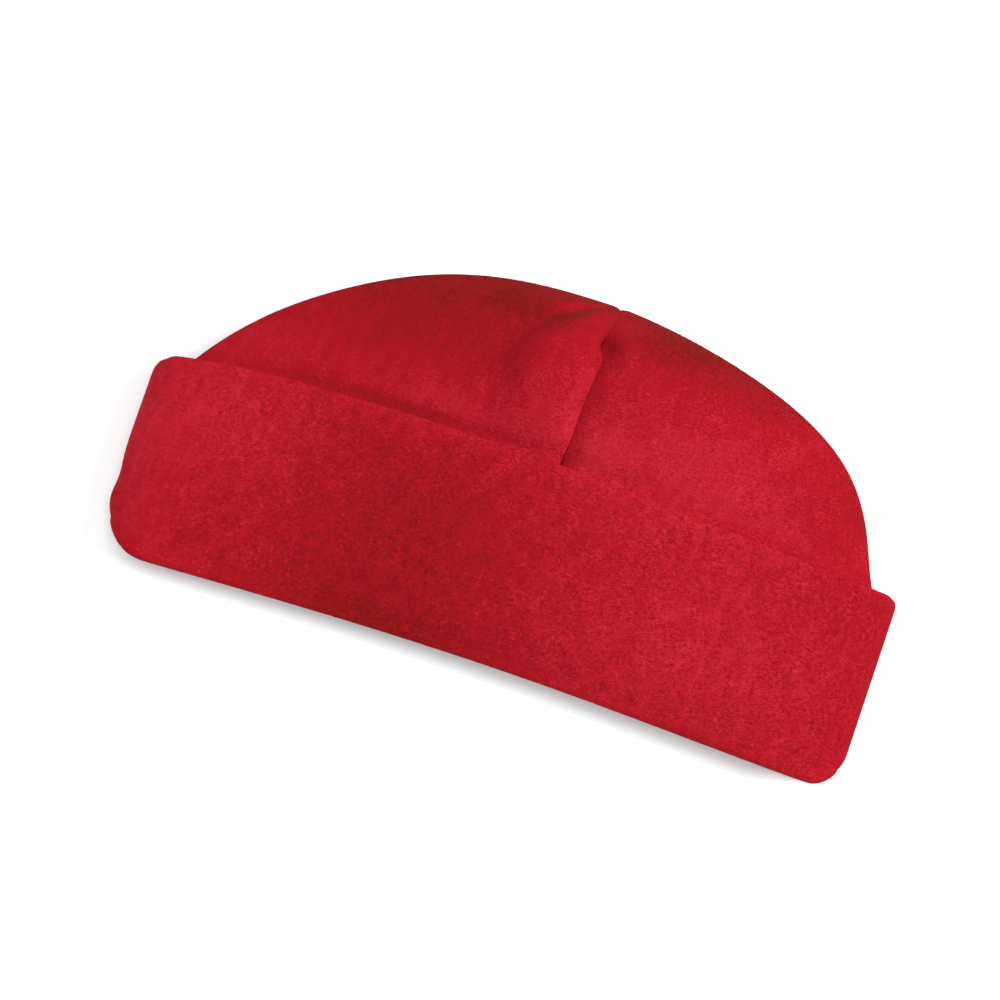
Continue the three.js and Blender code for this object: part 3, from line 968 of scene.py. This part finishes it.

# %% [markdown]
# ## Polar fleece
#
# Polar fleece is knitted from fine polyester yarn, brushed until the loops break into a nap,
# and sheared. That gives the eye a soft, dull surface with no highlights: tiny clumps of
# fibre, darker pits between them, and a faint sheen where it turns away. A photo of fleece
# could be wrapped round the hat, but it would stretch and blur close up, so the finish is
# worked out from noise at the sizes of the real clumps and strands. They tint the cloth and
# dent it, longer streaks follow the knit's columns, and the attributes add the painted light
# and shade and soften the grain.

# %% Helpers for sums and noise


def calculate(tree, operation, *terms):
    """A sum or product in a tree. Each term is a number or another node's output."""
    values = {i: term for i, term in enumerate(terms) if isinstance(term, (int, float))}
    links = {i: term for i, term in enumerate(terms) if i not in values}
    settings = {"operation": operation}
    return add_node(tree, "ShaderNodeMath", settings, values, links).outputs[0]


def noise(tree, place, size, detail, stretch=None, distortion=0.0):
    """Noise of that size. stretch draws it out along an axis whose share is below 1."""
    if stretch is not None:
        scale = {"Scale": stretch}
        mapping = add_node(tree, "ShaderNodeMapping", values=scale, links={"Vector": place})
        place = mapping.outputs["Vector"]
    values = {"Scale": 1 / size, "Detail": detail, "Roughness": 0.5, "Distortion": distortion}
    node = add_node(tree, "ShaderNodeTexNoise", values=values, links={"Vector": place})
    return node.outputs["Fac"]


def fact(tree, name):
    """What the cloth's points say about themselves under that name."""
    return add_node(tree, "ShaderNodeAttribute", {"attribute_name": name}).outputs["Fac"]


# %% The fleece material
FUZZ_STRETCH = (0.32, 1, 1)
FUZZ_CURL = 0.5
STREAK = 4 * MM
STREAK_STRETCH = (1, 0.45, 1)
STREAK_DEPTH = 0.3
RANGE_SOCKETS = ("From Min", "From Max", "To Min", "To Max")
COARSE_PATCH = 9 * MM
COARSE_LIMITS = (0.35, 0.65)
COARSE_SHARES = (0.55, 1.2)
PAINTED_TONE_CONTRAST = 1.0
TONE_RANGE = 0.55
DENT_STRENGTH = 0.35
DENT_DEPTH = 0.3 * MM


def fleece_tone(tree, painted_tone, grain, middle_grain, place):
    """The tone from the painted light and shade, from streaks, and from the grain, which is weaker
    where it is painted light.
    """
    patches = add_node(
        tree,
        "ShaderNodeMapRange",
        values=dict(zip(RANGE_SOCKETS, COARSE_LIMITS + COARSE_SHARES)),
        links={"Value": noise(tree, place, COARSE_PATCH, detail=1)},
    )
    coarseness = calculate(tree, "MULTIPLY", fact(tree, "coarse"), patches.outputs["Result"])
    uneven = calculate(tree, "SUBTRACT", grain, middle_grain)
    softened = calculate(tree, "MULTIPLY", uneven, coarseness)
    contrast = calculate(tree, "MULTIPLY_ADD", painted_tone, -PAINTED_TONE_CONTRAST, 1.0)
    mottle = calculate(tree, "MULTIPLY_ADD", softened, contrast, painted_tone)
    streaks = noise(tree, place, STREAK, detail=1, stretch=STREAK_STRETCH)
    return calculate(tree, "MULTIPLY_ADD", streaks, STREAK_DEPTH, mottle)


def fleece_material(name, clump, clump_depth, fuzz, reds):
    """Fleece with clumps and fuzz of those sizes. reds are its pits, its body and its tips."""
    pit, body, tip = (linear(red) for red in reds)
    material = new_material(name)
    tree = material.node_tree
    place = add_node(tree, "ShaderNodeTexCoord").outputs["Object"]
    clumps = noise(tree, place, clump, detail=2)
    strands = noise(tree, place, fuzz, detail=1, stretch=FUZZ_STRETCH, distortion=FUZZ_CURL)
    grain = calculate(tree, "MULTIPLY_ADD", clumps, clump_depth, strands)
    tone = fleece_tone(tree, fact(tree, "painted_tone"), grain, (1 + clump_depth) / 2, place)
    middle_tone = STREAK_DEPTH / 2
    spread = add_node(
        tree,
        "ShaderNodeMapRange",
        values={"From Min": middle_tone - TONE_RANGE, "From Max": middle_tone + TONE_RANGE},
        links={"Value": tone},
    )
    ramp = add_node(tree, "ShaderNodeValToRGB", links={"Fac": spread.outputs["Result"]})
    ramp.color_ramp.elements[0].color = pit
    ramp.color_ramp.elements[1].color = tip
    ramp.color_ramp.elements.new(0.5).color = body
    dents = add_node(
        tree,
        "ShaderNodeBump",
        values={"Strength": DENT_STRENGTH, "Distance": DENT_DEPTH},
        links={"Height": grain},
    )
    cloth = add_node(
        tree,
        "ShaderNodeBsdfPrincipled",
        values={
            "Roughness": 0.95,
            "Specular IOR Level": 0.03,
            "Sheen Weight": 0.1,
            "Sheen Roughness": 0.5,
            "Sheen Tint": tip,
        },
        links={"Base Color": ramp.outputs["Color"], "Normal": dents.outputs["Normal"]},
    )
    add_node(tree, "ShaderNodeOutputMaterial", links={"Surface": cloth.outputs[0]})
    return material


SHEET_REDS = ("#63100a", "#8c0e19", "#b02732")
FIBRE_REDS = ("#840f16", "#9c1521", "#b62a36")
FINISHES = table(
    ("name", "clump", "clump_depth", "fuzz", "reds"),
    ("fine brushed fleece", 1.0 * MM, 0.5, 0.45 * MM, SHEET_REDS),
    ("curled brushed fleece", 1.4 * MM, 0.6, 0.45 * MM, SHEET_REDS),
    ("loose curled fibres", 1.1 * MM, 0.8, 0.5 * MM, FIBRE_REDS),
)
crown_fleece, cuff_fleece, fibre_fleece = (fleece_material(**row) for row in FINISHES)
for gore in gores.values():
    gore.data.materials.append(crown_fleece)
for cuff in cuffs.values():
    cuff.data.materials.append(cuff_fleece)
print("materials:", ", ".join(row["name"] for row in FINISHES))

# %% [markdown]
# ## Grow the pile
#
# Brushing pulls single fibres out of the knit, and they stand off the cloth as short curls. A
# hair system could grow them, but its hairs are no mesh. Geometry Nodes scatter them instead:
# points on the side that shows, a bent and tapered fibre on each, turned and sized at random. A
# real fibre is finer than a hair. These are drawn several times thicker and fewer, so that they
# still show from a metre away.

# %% The tree that grows it
FIBRE_SIDES = 3
FIBRE_STEPS = 3
FIBRE_BEND = {"Start": (0, 0, 0), "Middle": (0.6, 0.35, 0.3), "End": (0.75, -0.2, 0.1)}
FIBRE_TIP = 0.25
FIBRE_LENGTHS = (0.5, 1.3)
FIBRE_INPUTS = {
    "Fibres per square metre": "NodeSocketFloat",
    "Fibre length": "NodeSocketFloat",
    "Thickness share": "NodeSocketFloat",
    "Seed": "NodeSocketInt",
}


def random_between(tree, low, high, seed):
    """A random number for each point. Sockets 2 and 3 are the least and the most, for floats."""
    node = add_node(tree, "FunctionNodeRandomValue", values={2: low, 3: high, "Seed": seed})
    return node.outputs[1]


def fibre_shape(tree, inputs):
    """One bent fibre, 1 long, that tapers to its tip."""
    bend = add_node(
        tree,
        "GeometryNodeCurveQuadraticBezier",
        values={"Resolution": FIBRE_STEPS, **FIBRE_BEND},
    )
    along = add_node(tree, "GeometryNodeSplineParameter")
    taper = add_node(
        tree,
        "ShaderNodeMapRange",
        values={"To Min": 1.0, "To Max": FIBRE_TIP},
        links={"Value": along.outputs["Factor"]},
    )
    tapered = add_node(
        tree,
        "GeometryNodeSetCurveRadius",
        links={"Curve": bend.outputs["Curve"], "Radius": taper.outputs["Result"]},
    )
    ring = add_node(
        tree,
        "GeometryNodeCurvePrimitiveCircle",
        values={"Resolution": FIBRE_SIDES},
        links={"Radius": inputs.outputs["Thickness share"]},
    )
    return add_node(
        tree,
        "GeometryNodeCurveToMesh",
        values={"Fill Caps": True},
        links={"Curve": tapered.outputs["Curve"], "Profile Curve": ring.outputs["Curve"]},
    )


def pile_tree(name, material):
    """The tree that scatters fibres of that material over a sheet."""
    tree = bpy.data.node_groups.new(name, "GeometryNodeTree")
    tree.interface.new_socket("Sheet", in_out="INPUT", socket_type="NodeSocketGeometry")
    for socket, kind in FIBRE_INPUTS.items():
        tree.interface.new_socket(socket, in_out="INPUT", socket_type=kind)
    tree.interface.new_socket("Pile", in_out="OUTPUT", socket_type="NodeSocketGeometry")
    inputs = add_node(tree, "NodeGroupInput")
    shows = add_node(tree, "GeometryNodeInputNamedAttribute", values={"Name": "pile"})
    thickest = inputs.outputs["Fibres per square metre"]
    density = calculate(tree, "MULTIPLY", thickest, shows.outputs["Attribute"])
    scatter = add_node(
        tree,
        "GeometryNodeDistributePointsOnFaces",
        links={
            "Mesh": inputs.outputs["Sheet"],
            "Density": density,
            "Seed": inputs.outputs["Seed"],
        },
    )
    spin = add_node(
        tree,
        "FunctionNodeAxisAngleToRotation",
        values={"Axis": (0, 0, 1)},
        links={"Angle": random_between(tree, 0, 2 * math.pi, 1)},
    )
    turned = add_node(
        tree,
        "FunctionNodeRotateRotation",
        settings={"rotation_space": "LOCAL"},
        links={"Rotation": scatter.outputs["Rotation"], "Rotate By": spin.outputs[0]},
    )
    any_length = random_between(tree, *FIBRE_LENGTHS, 2)
    size = calculate(tree, "MULTIPLY", inputs.outputs["Fibre length"], any_length)
    planted = add_node(
        tree,
        "GeometryNodeInstanceOnPoints",
        links={
            "Points": scatter.outputs["Points"],
            "Instance": fibre_shape(tree, inputs).outputs["Mesh"],
            "Rotation": turned.outputs[0],
            "Scale": size,
        },
    )
    realized = add_node(
        tree,
        "GeometryNodeRealizeInstances",
        links={"Geometry": planted.outputs["Instances"]},
    )
    finished = add_node(
        tree,
        "GeometryNodeSetMaterial",
        values={"Material": material},
        links={"Geometry": realized.outputs["Geometry"]},
    )
    add_node(tree, "NodeGroupOutput", links={"Pile": finished.outputs["Geometry"]})
    return tree


fibre_tree = pile_tree("fleece pile", fibre_fleece)
print("the pile's tree has", len(fibre_tree.nodes), "nodes")

# %% Grow it on the three sheets that show
FIBRE_THICKNESS = 0.12 * MM
PILES = [
    {"sheet": cuffs["front"], "length": 2.2 * MM, "spacing": 1.5 * MM, "seed": 11},
    {"sheet": gores["front", "left"], "length": 1.1 * MM, "spacing": 1.7 * MM, "seed": 12},
    {"sheet": gores["front", "right"], "length": 1.1 * MM, "spacing": 1.6 * MM, "seed": 13},
]


def grow_pile(sheet, tree, length, spacing, seed):
    """Evaluates the tree on a sheet, and keeps what grew as an object of its own."""
    settings = {
        "Fibres per square metre": 1 / spacing**2,
        "Fibre length": length,
        "Thickness share": FIBRE_THICKNESS / 2 / length,
        "Seed": seed,
    }
    modifier = sheet.modifiers.new("pile", "NODES")
    modifier.node_group = tree
    for socket in tree.interface.items_tree:
        if socket.name in settings:
            modifier[socket.identifier] = settings[socket.name]
    grown = sheet.evaluated_get(bpy.context.evaluated_depsgraph_get())
    mesh = bpy.data.meshes.new_from_object(grown)
    sheet.modifiers.remove(modifier)
    pile = bpy.data.objects.new(sheet.name.replace("_cloth", "_pile"), mesh)
    bpy.context.scene.collection.objects.link(pile)
    return pile


piles = {}
for row in PILES:
    sheet = row["sheet"]
    piles[sheet.name] = grow_pile(sheet, fibre_tree, row["length"], row["spacing"], row["seed"])
    print(piles[sheet.name].name, len(piles[sheet.name].data.polygons), "faces")

# %% [markdown]
# ## Hand the pieces over
#
# A plain object would show, but nobody could tell what it is. So each sheet is named after the
# solid that it replaces, rides on the hat's only body in its place, and the solid is hidden.


def hand_over(piece, node):
    """Puts a sheet in its solid's place, and returns the pile that grows on it."""
    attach(piece, "root")
    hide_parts(node)
    pile = piles.get(piece.name)
    if pile is None:
        return []
    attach(pile, "root")
    return [pile]


for (face, side), gore in gores.items():
    on_it = hand_over(gore, f"crown_{face}_{side}")
for face, cuff in cuffs.items():
    on_it = hand_over(cuff, f"cuff_{face}")
print(len(gores) + len(cuffs), "sheets declared")
